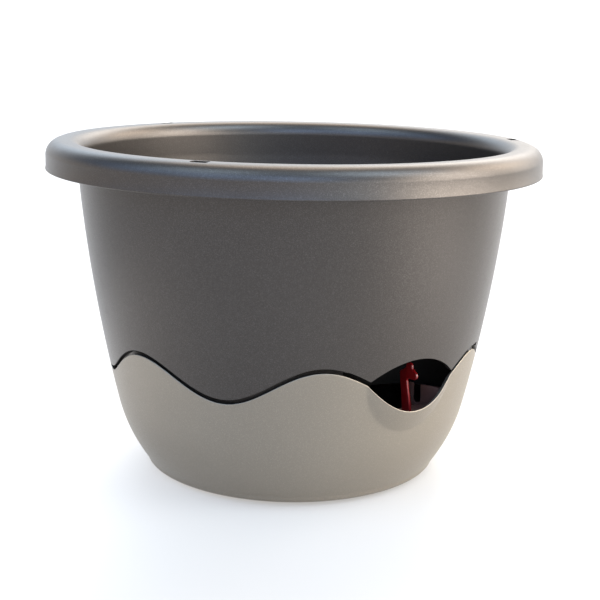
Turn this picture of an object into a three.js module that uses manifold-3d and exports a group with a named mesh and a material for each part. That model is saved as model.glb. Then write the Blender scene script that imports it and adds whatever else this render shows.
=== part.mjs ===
// A self-watering planter. A pot with a rolled rim stands inside a wave-edged water bowl. Water goes in
// through an opening in the wave line, and a red indicator on a float shows its level there.
// Millimetres, +Z up, origin at the centre of the ring that the planter stands on.
// Azimuths are in degrees, from the front (-Y) towards +X.
import * as THREE from "three";
import { mergeVertices } from "three/addons/utils/BufferGeometryUtils.js";
import Module from "manifold-3d";

const wasm = await Module();
wasm.setup();

// Rim and body
const RIM_RADIUS = 150;
const RIM_TOP = 203;
const RIM_EDGE = 186;
const RIM_ROLL = 9;
const RIM_WALL = 2.4;
const THROAT_RADIUS = 128;
const THROAT_ROLL_START = 136;
const POT_WALL = 3;
const BASE_RING_INNER = 64;

// Pot below the wave line
const FLOOR_BOTTOM = 62;
const FLOOR_TOP = 64.4;
const VESSEL_INSET = 3.2;
const VESSEL_WALL = 2.2;

// Bowl
const BOWL_WALL = 2.2;
const BOWL_UNDERSIDE = 2.5;
const BOWL_FLOOR = 4.7;

// Wave line: its crests as [azimuth, height, width of the slope up to it from the left]
const CRESTS = [
  [-46.5, 88.9, 25.1],
  [8.5, 90.3, 27.5],
  [64.5, 87.2, 22],
  [112.7, 88.5, 24.1],
  [162.9, 88.5, 25.1],
  [213.1, 88.5, 25.1],
  [263.3, 88.5, 25.1],
];
const TROUGH = 69.5;
const WAVE_GAP = 2;

// Filler opening, between the arch of the pot's skirt and the dip of the bowl's lip
const ARCH = { azimuth: 36.4, top: 90.4, drop: 10.7, halfWidth: 14.9 };
const DIP = { azimuth: 37.3, bottom: 60, depth: 17.5, left: 15.4, right: 14.6, leftPower: 1.9, rightPower: 2.4 };
const SPOUT = { azimuth: 37, height: 78, radius: 31, bulge: 6, bodyRadius: 112 };
const WELL = { azimuth: 37, distance: 112, radius: 44, wall: 2.4, shoulder: 103, apex: 121 };

// Slots in the rim for the hooks of a hanger
const HOOK_SLOTS = { azimuths: [-20, 100, 220], distance: 140, length: 10, width: 6 };

// Notch in the skirt's edge where a fingertip levers the bowl off
const PRY_NOTCH = { azimuth: 68.3, width: 9, height: 1.2 };

// Support legs under the pot's floor
const LEGS = { azimuths: [-19.3, 100.7, 220.7], distance: 62, top: 14, bottom: 12, wall: 2, foot: 5 };
const LEG_SEAT = { radius: 9, height: 3.2 };

// Wicks: textile strips that lie on the floor and hang through it into the water
const WICKS = { azimuths: [147.7, 173.7, 267.7, 293.7], distance: 70, width: 18, thickness: 2, reach: 28, foot: 7 };
const WICK_SLOT = { length: 20, width: 3.4 };

// Indicator: a flat lever in the radial plane. Its stem stands in the well and its arm turns in to the float.
const STEM = { azimuth: 42, inner: 97.3, outer: 103.5, thickness: 1.8, straightTop: 56 };
const HEEL = { distance: 97, top: 38 };
const STEM_TOP = { inner: 94.7, outer: 100.3, shoulder: 76 };
const HEAD = { distance: 101.6, height: 80.7, radius: 2.5 };
const NOSE = { distance: 104.9, height: 76.4, radius: 2.4 };
const ARM = { low: 24.4, high: 29.4 };
const PIN = { distance: 72, radius: 2.4, foot: 5, bossRadius: 4.2, bossTop: 26.6 };
const FLOAT = { radius: 14, bore: 2.8, bottom: 8.2, top: 23.9 };
const CLIP = { radius: 5, bore: 2.7, bottom: 6.2, top: 7.6 };

// Guide that holds the stem upright in the well
const GUIDE = { spread: 18.9, inner: 87.5, outer: 107.5, low: 48, high: 65, plate: 1.8, lean: 3.3 };
const GUIDE_NOTCH = { distance: 93, width: 5, bottom: 53.4 };
const SHELF = { low: 52, high: 54 };
const TAB = { low: 59.2, high: 61.2, start: 96, end: 104, reach: 19 };
const HOOK = { thickness: 1.6, top: 66.3, barb: 1, catch: 64.8 };

const TOUCH = 0.3;
const COARSE_STEP = 6;
const FINE_STEP = 3;
const FINE_FROM = 12;
const FINE_TO = 60;

const potPlastic = new THREE.MeshStandardMaterial({ color: 0x5e5c5b, roughness: 0.42, metalness: 0.25 });
const bowlPlastic = new THREE.MeshStandardMaterial({ color: 0xa49d90, roughness: 0.5, metalness: 0.1 });
const guidePlastic = new THREE.MeshStandardMaterial({ color: 0x3a3432, roughness: 0.55, metalness: 0 });
const redPlastic = new THREE.MeshStandardMaterial({ color: 0xa30f18, roughness: 0.25, metalness: 0 });
const floatFoam = new THREE.MeshStandardMaterial({ color: 0xe8e6df, roughness: 0.8, metalness: 0 });
const clipPlastic = new THREE.MeshStandardMaterial({ color: 0xd9d6cc, roughness: 0.4, metalness: 0 });
const wickTextile = new THREE.MeshStandardMaterial({ color: 0xcfcabd, roughness: 0.95, metalness: 0 });

const radians = THREE.MathUtils.degToRad;
const point = (r, z) => new THREE.Vector2(r, z);

// ---- Solids ----

function toSolid(geometry) {
  const bare = geometry.clone();
  bare.deleteAttribute("normal");
  bare.deleteAttribute("uv");
  const merged = mergeVertices(bare, 1e-4);
  const mesh = new wasm.Mesh({
    numProp: 3,
    vertProperties: merged.attributes.position.array,
    triVerts: new Uint32Array(merged.index.array),
  });
  return new wasm.Manifold(mesh);
}

function toMesh(name, solid, material) {
  const made = solid.getMesh();
  const geometry = new THREE.BufferGeometry();
  geometry.setAttribute("position", new THREE.BufferAttribute(made.vertProperties, 3));
  geometry.setIndex(new THREE.BufferAttribute(made.triVerts, 1));
  geometry.computeVertexNormals();
  const mesh = new THREE.Mesh(geometry, material);
  mesh.name = name;
  return mesh;
}

const union = (solids) => solids.reduce((all, next) => all.add(next));

// Azimuths of the mesh's columns, closer together across the filler opening.
function columnAzimuths() {
  const azimuths = [];
  let azimuth = -180;
  while (azimuth <= 180) {
    azimuths.push(azimuth);
    azimuth += azimuth >= FINE_FROM && azimuth < FINE_TO ? FINE_STEP : COARSE_STEP;
  }
  return azimuths;
}

// A solid of revolution whose outline may change with the azimuth.
function revolve(outlineAt, azimuths = columnAzimuths()) {
  const geometry = new THREE.LatheGeometry(outlineAt(azimuths[0]), azimuths.length - 1);
  const position = geometry.attributes.position;
  azimuths.forEach((azimuth, column) => {
    const turn = radians(column === azimuths.length - 1 ? azimuths[0] : azimuth);
    const outline = outlineAt(azimuth);
    outline.forEach(({ x: r, y: z }, row) => {
      position.setXYZ(column * outline.length + row, r * Math.sin(turn), z, r * Math.cos(turn));
    });
  });
  geometry.rotateX(Math.PI / 2);
  return toSolid(geometry);
}

// A plain round solid on a vertical axis, from the outline's points.
function turned(outline, x, y, segments) {
  const geometry = new THREE.LatheGeometry(outline, segments);
  geometry.rotateX(Math.PI / 2);
  geometry.translate(x, y, 0);
  return toSolid(geometry);
}

const onAzimuth = (azimuth, distance) => [
  distance * Math.sin(radians(azimuth)),
  -distance * Math.cos(radians(azimuth)),
];

// Sets a solid drawn with +X tangential and -Y pointing out at the given azimuth.
function atAzimuth(geometry, azimuth) {
  geometry.rotateZ(radians(azimuth));
  return toSolid(geometry);
}

// A box in the frame of an azimuth: across (tangential), out (from the axis) and up, as [low, high].
function boxAt(azimuth, across, out, up) {
  const geometry = new THREE.BoxGeometry(across[1] - across[0], out[1] - out[0], up[1] - up[0]);
  geometry.translate((across[0] + across[1]) / 2, -(out[0] + out[1]) / 2, (up[0] + up[1]) / 2);
  return atAzimuth(geometry, azimuth);
}

// Points on a quarter of an ellipse, from one angle to another.
function arc(centreR, centreZ, radiusR, radiusZ, from, to, steps) {
  const points = [];
  for (let i = 0; i <= steps; i++) {
    const angle = radians(from + ((to - from) * i) / steps);
    points.push(point(centreR + radiusR * Math.cos(angle), centreZ + radiusZ * Math.sin(angle)));
  }
  return points;
}

// ---- Outline of the body, shared by the bowl and the pot ----

const baseCorner = new THREE.CubicBezierCurve(point(76, 0), point(80.5, 0), point(91, 1.4), point(91.5, 5));
const lowerWall = new THREE.CubicBezierCurve(point(91.5, 5), point(92, 8), point(103, 19), point(108.8, 42.5));
const upperWall = new THREE.CubicBezierCurve(
  point(108.8, 42.5),
  point(119.4, 86.8),
  point(128.2, 142.4),
  point(131.2, RIM_EDGE),
);
const wallPoints = [...lowerWall.getPoints(40), ...upperWall.getPoints(60).slice(1)];

function bodyRadius(z) {
  const next = Math.max(1, wallPoints.findIndex((p) => p.y >= z));
  const [a, b] = z >= RIM_EDGE ? wallPoints.slice(-2) : [wallPoints[next - 1], wallPoints[next]];
  return a.x + ((b.x - a.x) * (z - a.y)) / (b.y - a.y);
}

// Radial inset that leaves a wall of the given thickness on the sloping body.
function wallInset(z, thickness) {
  const slope = bodyRadius(z + 1) - bodyRadius(z);
  return thickness * Math.hypot(1, slope);
}

// ---- Wave line ----

function waveHeight(azimuth) {
  const turn = THREE.MathUtils.euclideanModulo(azimuth - CRESTS[0][0], 360) + CRESTS[0][0];
  const last = CRESTS.findLastIndex((crest) => crest[0] <= turn);
  const [left, leftTop] = CRESTS[last];
  const [first, firstTop, firstRise] = CRESTS[0];
  const [right, rightTop, rise] = CRESTS[last + 1] ?? [first + 360, firstTop, firstRise];
  const middle = (left + right) / 2;
  const top = turn < middle ? leftTop : rightTop;
  const fromCrest = turn < middle ? (turn - left) / (middle - left) : Math.min((right - turn) / rise, 1);
  return (top + TROUGH) / 2 + ((top - TROUGH) / 2) * Math.cos(Math.PI * fromCrest);
}

// Lower edge of the pot's skirt.
function skirtHeight(azimuth) {
  const across = (azimuth - ARCH.azimuth) / ARCH.halfWidth;
  const arch = ARCH.top - ARCH.drop * across ** 2;
  return Math.abs(across) < 1.1 ? Math.max(waveHeight(azimuth), arch) : waveHeight(azimuth);
}

// Upper edge of the bowl.
function lipHeight(azimuth) {
  const away = azimuth - DIP.azimuth;
  const share = Math.abs(away) / (away < 0 ? DIP.left : DIP.right);
  const dip = DIP.bottom + DIP.depth * share ** (away < 0 ? DIP.leftPower : DIP.rightPower);
  return share < 1.2 ? Math.min(waveHeight(azimuth) - WAVE_GAP, dip) : waveHeight(azimuth) - WAVE_GAP;
}

// How far the bowl bulges out around the dip, as a shallow dome that pours water in.
function spoutBulge(azimuth, z) {
  const across = radians(azimuth - SPOUT.azimuth) * SPOUT.bodyRadius;
  const share = Math.hypot(across, z - SPOUT.height) / SPOUT.radius;
  return share < 1 ? SPOUT.bulge * (1 - share ** 2) : 0;
}

// ---- Water bowl ----

function bowlOutline(azimuth) {
  const lip = lipHeight(azimuth);
  const low = 38;
  const heights = [9, 14, 20, 28, low];
  const steps = 5;
  for (let i = 1; i <= steps; i++) heights.push(low + ((lip - low) * i) / steps);
  const outer = heights.map((z) => point(bodyRadius(z) + spoutBulge(azimuth, z), z));
  const inner = heights
    .slice(1)
    .map((z) => point(bodyRadius(z) - wallInset(z, BOWL_WALL) + spoutBulge(azimuth, z), z))
    .reverse();
  return [
    point(0, BOWL_UNDERSIDE),
    point(BASE_RING_INNER - BOWL_UNDERSIDE, BOWL_UNDERSIDE),
    point(BASE_RING_INNER, 0),
    ...baseCorner.getPoints(4),
    ...outer,
    ...inner,
    point(89, 8.6),
    point(85.5, 5.6),
    point(80, BOWL_FLOOR),
    point(0, BOWL_FLOOR),
  ];
}

function legSeat(azimuth) {
  const [x, y] = onAzimuth(azimuth, LEGS.distance);
  const top = BOWL_FLOOR + LEG_SEAT.height;
  const outline = [
    point(0, BOWL_FLOOR - 1),
    point(LEG_SEAT.radius, BOWL_FLOOR - 1),
    point(LEG_SEAT.radius, top - 0.8),
    point(LEG_SEAT.radius - 0.8, top),
    point(0, top),
  ];
  return turned(outline, x, y, 16);
}

function reservoirBowl() {
  const solid = union([revolve(bowlOutline), ...LEGS.azimuths.map(legSeat)]);
  return toMesh("reservoir_bowl", solid, bowlPlastic);
}

// ---- Pot ----

function rimOutline() {
  const rollZ = RIM_TOP - RIM_ROLL;
  const rollR = RIM_RADIUS - RIM_ROLL;
  const underRoll = RIM_ROLL - RIM_WALL;
  const throatRoll = THROAT_ROLL_START - THROAT_RADIUS;
  const bodyTop = bodyRadius(RIM_EDGE);
  const edge = RIM_RADIUS - RIM_WALL;
  return [
    ...arc(THROAT_ROLL_START, rollZ, THROAT_ROLL_START - bodyTop - 0.3, underRoll - 0.3, 180, 90, 3),
    ...arc(rollR, rollZ, underRoll, underRoll, 90, 0, 3),
    point(edge, RIM_EDGE + 0.6),
    point(edge + 0.6, RIM_EDGE),
    point(RIM_RADIUS - 0.8, RIM_EDGE),
    point(RIM_RADIUS - 0.3, RIM_EDGE + 0.7),
    ...arc(rollR, rollZ, RIM_ROLL, RIM_ROLL, 0, 90, 5),
    ...arc(THROAT_ROLL_START, rollZ, throatRoll, RIM_ROLL - 0.3, 90, 180, 5),
  ];
}

function potOutline(azimuth) {
  const skirt = skirtHeight(azimuth);
  const vesselOuter = (z) => bodyRadius(z) - VESSEL_INSET;
  const vesselInner = (z) => vesselOuter(z) - VESSEL_WALL;
  const outerSteps = 6;
  const outer = [];
  for (let i = 0; i <= outerSteps; i++) {
    const z = skirt + ((RIM_EDGE - skirt) * i) / outerSteps;
    outer.push(point(bodyRadius(z), z));
  }
  const inner = [];
  const blendTop = skirt + 8;
  const innerSteps = 5;
  for (let i = 0; i <= innerSteps; i++) {
    const z = RIM_EDGE + ((blendTop - RIM_EDGE) * i) / innerSteps;
    inner.push(point(bodyRadius(z) - POT_WALL, z));
  }
  return [
    point(0, FLOOR_BOTTOM),
    point(vesselOuter(FLOOR_BOTTOM) - 4, FLOOR_BOTTOM),
    point(vesselOuter(FLOOR_BOTTOM + 3), FLOOR_BOTTOM + 3),
    point(vesselOuter(skirt), skirt),
    ...outer,
    ...rimOutline(),
    ...inner,
    point(vesselInner(skirt - 1), skirt - 1),
    point(vesselInner(FLOOR_TOP + 3), FLOOR_TOP + 3),
    point(vesselInner(FLOOR_TOP) - 3, FLOOR_TOP),
    point(0, FLOOR_TOP),
  ];
}

// The body's inside, which trims the well: one inset from the outer face below the skirt's edge, one above.
function bodyCore(lowerInset, upperInset, low, high) {
  const steps = 5;
  return revolve((azimuth) => {
    const edge = skirtHeight(azimuth) + 0.5;
    const points = [point(0, low), point(bodyRadius(low) - lowerInset, low)];
    points.push(point(bodyRadius(edge) - lowerInset, edge));
    for (let i = 0; i <= steps; i++) {
      const z = edge + ((high - edge) * i) / steps;
      points.push(point(bodyRadius(z) - upperInset, z));
    }
    points.push(point(0, high));
    return points;
  });
}

// A round tower with a conical roof, grown by the wall for its outer face.
function wellTower(grow, low) {
  const [x, y] = onAzimuth(WELL.azimuth, WELL.distance);
  const radius = WELL.radius + grow;
  const outline = [
    point(0, low),
    point(radius, low),
    point(radius, WELL.shoulder + grow / 2),
    point(radius - 8, WELL.shoulder + 8 + grow / 2),
    point(0, WELL.apex + grow),
  ];
  return turned(outline, x, y, 28);
}

function leg(azimuth, grow, low, high) {
  const [x, y] = onAzimuth(azimuth, LEGS.distance);
  const outline = [point(0, low), point(LEGS.bottom + grow, low), point(LEGS.top + grow, high), point(0, high)];
  return turned(outline, x, y, 16);
}

function hookSlot(azimuth) {
  const { distance, length, width } = HOOK_SLOTS;
  const corner = 1.2;
  const [x, y] = [length / 2, width / 2];
  const slot = new THREE.Shape([
    point(-x + corner, -distance - y),
    point(x - corner, -distance - y),
    point(x, -distance - y + corner),
    point(x, -distance + y - corner),
    point(x - corner, -distance + y),
    point(-x + corner, -distance + y),
    point(-x, -distance + y - corner),
    point(-x, -distance - y + corner),
  ]);
  const geometry = new THREE.ExtrudeGeometry(slot, { depth: RIM_ROLL, bevelEnabled: false });
  geometry.translate(0, 0, RIM_TOP - RIM_ROLL + 1);
  return atAzimuth(geometry, azimuth);
}

function pryNotch() {
  const edge = waveHeight(PRY_NOTCH.azimuth);
  const half = PRY_NOTCH.width / 2;
  const out = bodyRadius(edge);
  return boxAt(PRY_NOTCH.azimuth, [-half, half], [out - VESSEL_INSET + 0.6, out + 5], [edge - 5, edge + PRY_NOTCH.height]);
}

function wickSlot(azimuth) {
  const { length, width } = WICK_SLOT;
  const out = [WICKS.distance - width / 2, WICKS.distance + width / 2];
  return boxAt(azimuth, [-length / 2, length / 2], out, [FLOOR_BOTTOM - 2, FLOOR_TOP + 2]);
}

function pot() {
  const shell = revolve(potOutline);
  const wellShell = wellTower(WELL.wall, FLOOR_BOTTOM).intersect(bodyCore(VESSEL_INSET + 0.5, POT_WALL - 1, FLOOR_BOTTOM, 150));
  const wellInside = wellTower(0, FLOOR_BOTTOM - 4).intersect(bodyCore(0, POT_WALL - 0.4, FLOOR_BOTTOM - 8, 150));
  const legs = LEGS.azimuths.map((azimuth) => leg(azimuth, 0, LEGS.foot, FLOOR_BOTTOM + 1));
  const legHollows = LEGS.azimuths.map((azimuth) => leg(azimuth, -LEGS.wall, LEGS.foot - 1, FLOOR_BOTTOM));
  const cuts = [
    wellInside,
    ...legHollows,
    ...HOOK_SLOTS.azimuths.map(hookSlot),
    ...WICKS.azimuths.map(wickSlot),
    ...[-1, 1].map(hookHole),
    pryNotch(),
  ];
  const solid = union([shell, wellShell, ...legs]).subtract(union(cuts));
  return toMesh("pot", solid, potPlastic);
}

// ---- Indicator guide ----
// It is symmetric about the well's azimuth, except for the stem's slot. Side is -1 or 1.

const plateAzimuth = (side) => WELL.azimuth + side * GUIDE.spread;
const acrossPlate = (side, from, to) => (side > 0 ? [from, to] : [-to, -from]);

function plateBox(side, fromPlate, toPlate, out, up) {
  const middle = -GUIDE.lean;
  return boxAt(plateAzimuth(side), acrossPlate(side, middle + fromPlate, middle + toPlate), out, up);
}

function sidePlate(side) {
  const half = GUIDE.plate / 2;
  const plate = plateBox(side, -half, half, [GUIDE.inner, GUIDE.outer], [GUIDE.low, GUIDE.high]);
  const { distance, width, bottom } = GUIDE_NOTCH;
  const notchOut = [distance - width / 2, distance + width / 2];
  const square = plateBox(side, -2, 2, notchOut, [bottom + width / 2, GUIDE.high + 1]);
  const round = new THREE.CylinderGeometry(width / 2, width / 2, 4, 16);
  round.rotateZ(Math.PI / 2);
  round.translate(side * -GUIDE.lean, -distance, bottom + width / 2);
  return plate.subtract(square).subtract(atAzimuth(round, plateAzimuth(side)));
}

function snapHook(side) {
  const { low, high, start, end, reach } = TAB;
  const width = [start, end];
  const tab = plateBox(side, 0, reach, width, [low, high]);
  const tongue = plateBox(side, reach - HOOK.thickness, reach, width, [low, HOOK.top]);
  const barb = plateBox(side, reach - HOOK.thickness, reach + HOOK.barb, width, [HOOK.catch, HOOK.top]);
  return union([tab, tongue, barb]);
}

// Hole in the pot's floor for a snap hook.
function hookHole(side) {
  const from = TAB.reach - HOOK.thickness - 0.5;
  const to = TAB.reach + 0.5;
  const out = [TAB.start - 0.5, TAB.end + 0.5];
  return plateBox(side, from, to, out, [FLOOR_BOTTOM - 2, FLOOR_TOP + 2]);
}

function guideShelf() {
  const outline = new THREE.Shape([
    point(-34, -100),
    point(-14, -106.5),
    point(14, -106.5),
    point(34, -100),
    point(34, -91),
    point(20, -93.5),
    point(-20, -93.5),
    point(-34, -91),
  ]);
  const geometry = new THREE.ExtrudeGeometry(outline, { depth: SHELF.high - SHELF.low, bevelEnabled: false });
  geometry.translate(0, 0, SHELF.low);
  const play = 0.45;
  const half = STEM.thickness / 2 + play;
  const out = [STEM.inner - play, STEM.outer + play];
  const slot = boxAt(STEM.azimuth, [-half, half], out, [SHELF.low - 1, SHELF.high + 1]);
  return atAzimuth(geometry, WELL.azimuth).subtract(slot);
}

function indicatorGuide() {
  const solid = union([sidePlate(-1), sidePlate(1), snapHook(-1), snapHook(1), guideShelf()]);
  return toMesh("indicator_guide", solid, guidePlastic);
}

// ---- Indicator ----

// Lever with a rounded head and a round nose that points out of the opening.
function lever() {
  const outline = new THREE.Shape();
  outline.moveTo(PIN.distance - 3, ARM.low);
  outline.lineTo(HEEL.distance, ARM.low);
  outline.lineTo(STEM.outer, HEEL.top);
  outline.lineTo(STEM.outer, STEM.straightTop);
  outline.lineTo(STEM_TOP.outer, NOSE.height - NOSE.radius);
  outline.lineTo(NOSE.distance, NOSE.height - NOSE.radius);
  outline.absarc(NOSE.distance, NOSE.height, NOSE.radius, -Math.PI / 2, radians(75), false);
  outline.absarc(HEAD.distance, HEAD.height, HEAD.radius, radians(-20), radians(200), false);
  outline.lineTo(STEM_TOP.inner + 2.6, STEM_TOP.shoulder + 2.6);
  outline.lineTo(STEM_TOP.inner, STEM_TOP.shoulder);
  outline.lineTo(STEM.inner, STEM.straightTop);
  outline.lineTo(STEM.inner, ARM.high + 3);
  outline.lineTo(STEM.inner - 3, ARM.high);
  outline.lineTo(PIN.distance - 3, ARM.high);
  const depth = STEM.thickness;
  const geometry = new THREE.ExtrudeGeometry(outline, { depth, bevelEnabled: false, curveSegments: 8 });
  geometry.rotateX(Math.PI / 2);
  geometry.rotateZ(-Math.PI / 2);
  geometry.translate(depth / 2, 0, 0);
  return atAzimuth(geometry, STEM.azimuth);
}

function round(radius, low, high, segments = 20) {
  const [x, y] = onAzimuth(STEM.azimuth, PIN.distance);
  return turned([point(0, low), point(radius, low), point(radius, high), point(0, high)], x, y, segments);
}

function indicatorStem() {
  const pin = round(PIN.radius, PIN.foot, PIN.bossTop - 1, 16);
  const boss = round(PIN.bossRadius, ARM.low, PIN.bossTop);
  return toMesh("indicator_stem", union([lever(), pin, boss]), redPlastic);
}

function indicatorFloat() {
  const body = round(FLOAT.radius, FLOAT.bottom, FLOAT.top, 28);
  const bore = round(FLOAT.bore, FLOAT.bottom - 1, FLOAT.top + 1, 16);
  return toMesh("indicator_float", body.subtract(bore), floatFoam);
}

function floatClip() {
  const body = round(CLIP.radius, CLIP.bottom, CLIP.top);
  const bore = round(CLIP.bore, CLIP.bottom - 1, CLIP.top + 1, 16);
  return toMesh("float_clip", body.subtract(bore), clipPlastic);
}

// ---- Wicks ----

function wick(azimuth, index) {
  const { distance, width, thickness, reach, foot } = WICKS;
  const near = distance - thickness / 2;
  const far = distance + thickness / 2;
  const low = FLOOR_TOP + TOUCH;
  const high = low + thickness;
  const outline = new THREE.Shape([
    point(near, foot),
    point(far, foot),
    point(far, high - 0.8),
    point(far - 0.8, high),
    point(distance - reach, high),
    point(distance - reach, low),
    point(near, low),
  ]);
  const geometry = new THREE.ExtrudeGeometry(outline, { depth: width, bevelEnabled: false });
  geometry.rotateX(Math.PI / 2);
  geometry.rotateZ(-Math.PI / 2);
  geometry.translate(width / 2, 0, 0);
  return toMesh(`wick_${index + 1}`, atAzimuth(geometry, azimuth), wickTextile);
}

const planter = new THREE.Group();
planter.add(reservoirBowl(), pot(), indicatorGuide());
planter.add(indicatorStem(), indicatorFloat(), floatClip());
planter.add(...WICKS.azimuths.map(wick));

export default planter;
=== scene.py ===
import math

import bmesh
import bpy
import numpy as np
from mathutils import Matrix


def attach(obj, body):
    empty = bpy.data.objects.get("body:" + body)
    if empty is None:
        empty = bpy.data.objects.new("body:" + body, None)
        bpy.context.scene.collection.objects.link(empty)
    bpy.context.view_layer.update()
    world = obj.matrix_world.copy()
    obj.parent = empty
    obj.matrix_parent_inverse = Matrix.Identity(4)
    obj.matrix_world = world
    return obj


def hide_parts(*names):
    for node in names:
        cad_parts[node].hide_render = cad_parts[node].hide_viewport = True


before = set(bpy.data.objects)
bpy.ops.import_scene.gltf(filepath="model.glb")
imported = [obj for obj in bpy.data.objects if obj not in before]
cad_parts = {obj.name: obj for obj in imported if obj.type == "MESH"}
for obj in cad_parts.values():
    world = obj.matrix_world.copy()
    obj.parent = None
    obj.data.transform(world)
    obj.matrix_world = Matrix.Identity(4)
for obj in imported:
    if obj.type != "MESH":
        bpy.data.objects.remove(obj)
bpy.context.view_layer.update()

# A self-watering planter: a pot with a rolled rim in a wave-edged water bowl, with a filler opening and a
# red indicator on a float. Lengths are in millimetres until a mesh is made, and metres after that.
# Azimuths are in degrees, from the front (-Y) towards +X.
MM = 0.001

RIM_RADIUS = 150.0
RIM_TOP = 203.0
RIM_EDGE = 186.0
RIM_ROLL = 9.0
RIM_WALL = 2.4
RIM_BEAD = 0.3
THROAT_RADIUS = 128.0
THROAT_ROLL_START = 136.0
POT_WALL = 3.0
BASE_RING_INNER = 64.0
FLOOR_BOTTOM = 62.0
FLOOR_TOP = 64.4
VESSEL_INSET = 3.2
VESSEL_WALL = 2.2
BOWL_WALL = 2.2
LIP_SLOPE = 1.6
BOWL_UNDERSIDE = 2.5
BOWL_FLOOR = 4.7
# The wave line's crests, as azimuth, height and the width of the slope up to it from the left.
CRESTS = [
    (-46.5, 88.9, 27.7),
    (8.5, 90.3, 27.5),
    (64.5, 87.2, 22.0),
    (112.7, 88.5, 24.1),
    (162.9, 88.5, 25.1),
    (213.1, 88.5, 25.1),
    (263.3, 88.5, 25.1),
]
TROUGH = 69.5
# The trough before the first crest is deeper, and a little nearer to the last crest.
DEEP_TROUGH = {"azimuth": 285.8, "height": 67.3}
WAVE_GAP = 2.5
ARCH = {"azimuth": 36.4, "top": 90.4, "drop": 10.7, "half": 14.9}
DIP = {
    "azimuth": 37.3,
    "bottom": 60.0,
    "depth": 17.5,
    "left": 15.4,
    "right": 14.6,
    "left_power": 1.9,
    "right_power": 2.4,
}
SPOUT = {"azimuth": 37.0, "height": 78.0, "radius": 31.0, "bulge": 6.0, "body": 112.0}
WELL = {
    "azimuth": 37.0,
    "distance": 112.0,
    "radius": 44.0,
    "wall": 2.4,
    "shoulder": 103.0,
    "apex": 121.0,
    "set_in": 8.0,
    "trim_top": 150.0,
}
HOOK_SLOTS = {"azimuths": (-20, 100, 220), "distance": 140.0, "length": 10.0, "width": 6.0}
PRY_NOTCH = {"azimuth": 68.3, "width": 9.0, "height": 1.2}
LEGS = {"azimuths": (-19.3, 100.7, 220.7), "distance": 62.0, "top": 14.0, "bottom": 12.0, "wall": 2.0, "foot": 5.0}
LEG_SEAT = {"radius": 9.0, "height": 3.2}
WICKS = {
    "azimuths": (147.7, 173.7, 267.7, 293.7),
    "distance": 70.0,
    "width": 18.0,
    "thick": 2.0,
    "reach": 28.0,
    "foot": 7.0,
}
WICK_SLOT = {"length": 20.0, "width": 3.4}
STEM = {"azimuth": 42.0, "inner": 97.3, "outer": 103.5, "thick": 1.8, "straight_top": 56.0}
STEM_TOP = {"inner": 94.7, "outer": 100.3, "shoulder": 76.0}
HEEL = {"distance": 97.0, "top": 38.0}
HEAD = {"distance": 101.8, "height": 81.3, "radius": 2.4}
NOSE = {"distance": 105.5, "height": 76.4, "radius": 2.4}
ARM = {"low": 24.4, "high": 29.4}
PIN = {"distance": 72.0, "radius": 2.4, "foot": 5.0, "boss": 4.2, "boss_top": 26.6}
FLOAT = {"radius": 14.0, "bore": 2.8, "bottom": 8.2, "top": 23.9}
CLIP = {"radius": 5.0, "bore": 2.7, "bottom": 6.2, "top": 7.6}
GUIDE = {"spread": 18.9, "inner": 87.5, "outer": 107.5, "low": 48.0, "high": 65.0, "plate": 1.8, "lean": 3.3}
GUIDE_NOTCH = {"distance": 93.0, "width": 5.0, "bottom": 53.4}
SHELF = {"low": 52.0, "high": 54.0}
TAB = {"low": 59.2, "high": 61.2, "start": 96.0, "end": 104.0, "reach": 19.0}
HOOK = {"thick": 1.6, "top": 66.3, "barb": 1.0, "catch": 64.8}
WICK_GAP = 0.3
# The mesh's columns stand closer together across the filler opening, between these azimuths.
FINE_FROM, FINE_TO, FINE_STEP, COARSE_STEP = 16, 60, 0.25, 1.0


# ---- Mesh helpers ----


def finish_mesh(name, mesh, material, sharp=32.0):
    mesh.shade_smooth()
    mesh.set_sharp_from_angle(angle=math.radians(sharp))
    mesh.materials.clear()
    mesh.materials.append(material)
    obj = bpy.data.objects.new(name, mesh)
    bpy.context.scene.collection.objects.link(obj)
    return obj


def mesh_of(name, vertices, faces):
    mesh = bpy.data.meshes.new(name)
    mesh.from_pydata((np.asarray(vertices, dtype=float) * MM).tolist(), [], faces)
    mesh.validate()
    mesh.update()
    return mesh


def temporary(mesh):
    obj = bpy.data.objects.new("tmp_" + mesh.name, mesh)
    bpy.context.scene.collection.objects.link(obj)
    return obj


def combined(name, base, steps):
    """base with each (operation, mesh) applied in turn, as a new mesh."""
    obj = temporary(base)
    others = []
    for operation, mesh in steps:
        other = temporary(mesh)
        others.append(other)
        modifier = obj.modifiers.new("cut", "BOOLEAN")
        modifier.operation = operation
        modifier.solver = "MANIFOLD"
        modifier.object = other
    bpy.context.view_layer.update()
    depsgraph = bpy.context.evaluated_depsgraph_get()
    mesh = bpy.data.meshes.new_from_object(obj.evaluated_get(depsgraph))
    mesh.name = name
    for extra in [obj, *others]:
        bpy.data.objects.remove(extra)
    return mesh


def revolved(name, azimuths, radii, heights):
    """A closed solid of revolution. radii and heights are (columns, rows); the first and last rows lie on the axis."""
    turns = np.radians(azimuths)
    columns, rows = radii.shape
    inner_r, inner_z = radii[:, 1:-1], heights[:, 1:-1]
    across = inner_r * np.sin(turns)[:, None]
    along = -inner_r * np.cos(turns)[:, None]
    ring = np.stack([across, along, inner_z], axis=2).reshape(-1, 3)
    count = rows - 2
    ends = np.array([[0, 0, heights[0, 0]], [0, 0, heights[0, -1]]])
    vertices = np.concatenate([ring, ends])
    first, last = len(ring), len(ring) + 1
    faces = []
    for i in range(columns):
        j = (i + 1) % columns
        a, b = i * count, j * count
        faces.append((first, b, a))
        faces.extend((a + k, b + k, b + k + 1, a + k + 1) for k in range(count - 1))
        faces.append((a + count - 1, b + count - 1, last))
    return mesh_of(name, vertices, faces)


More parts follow.
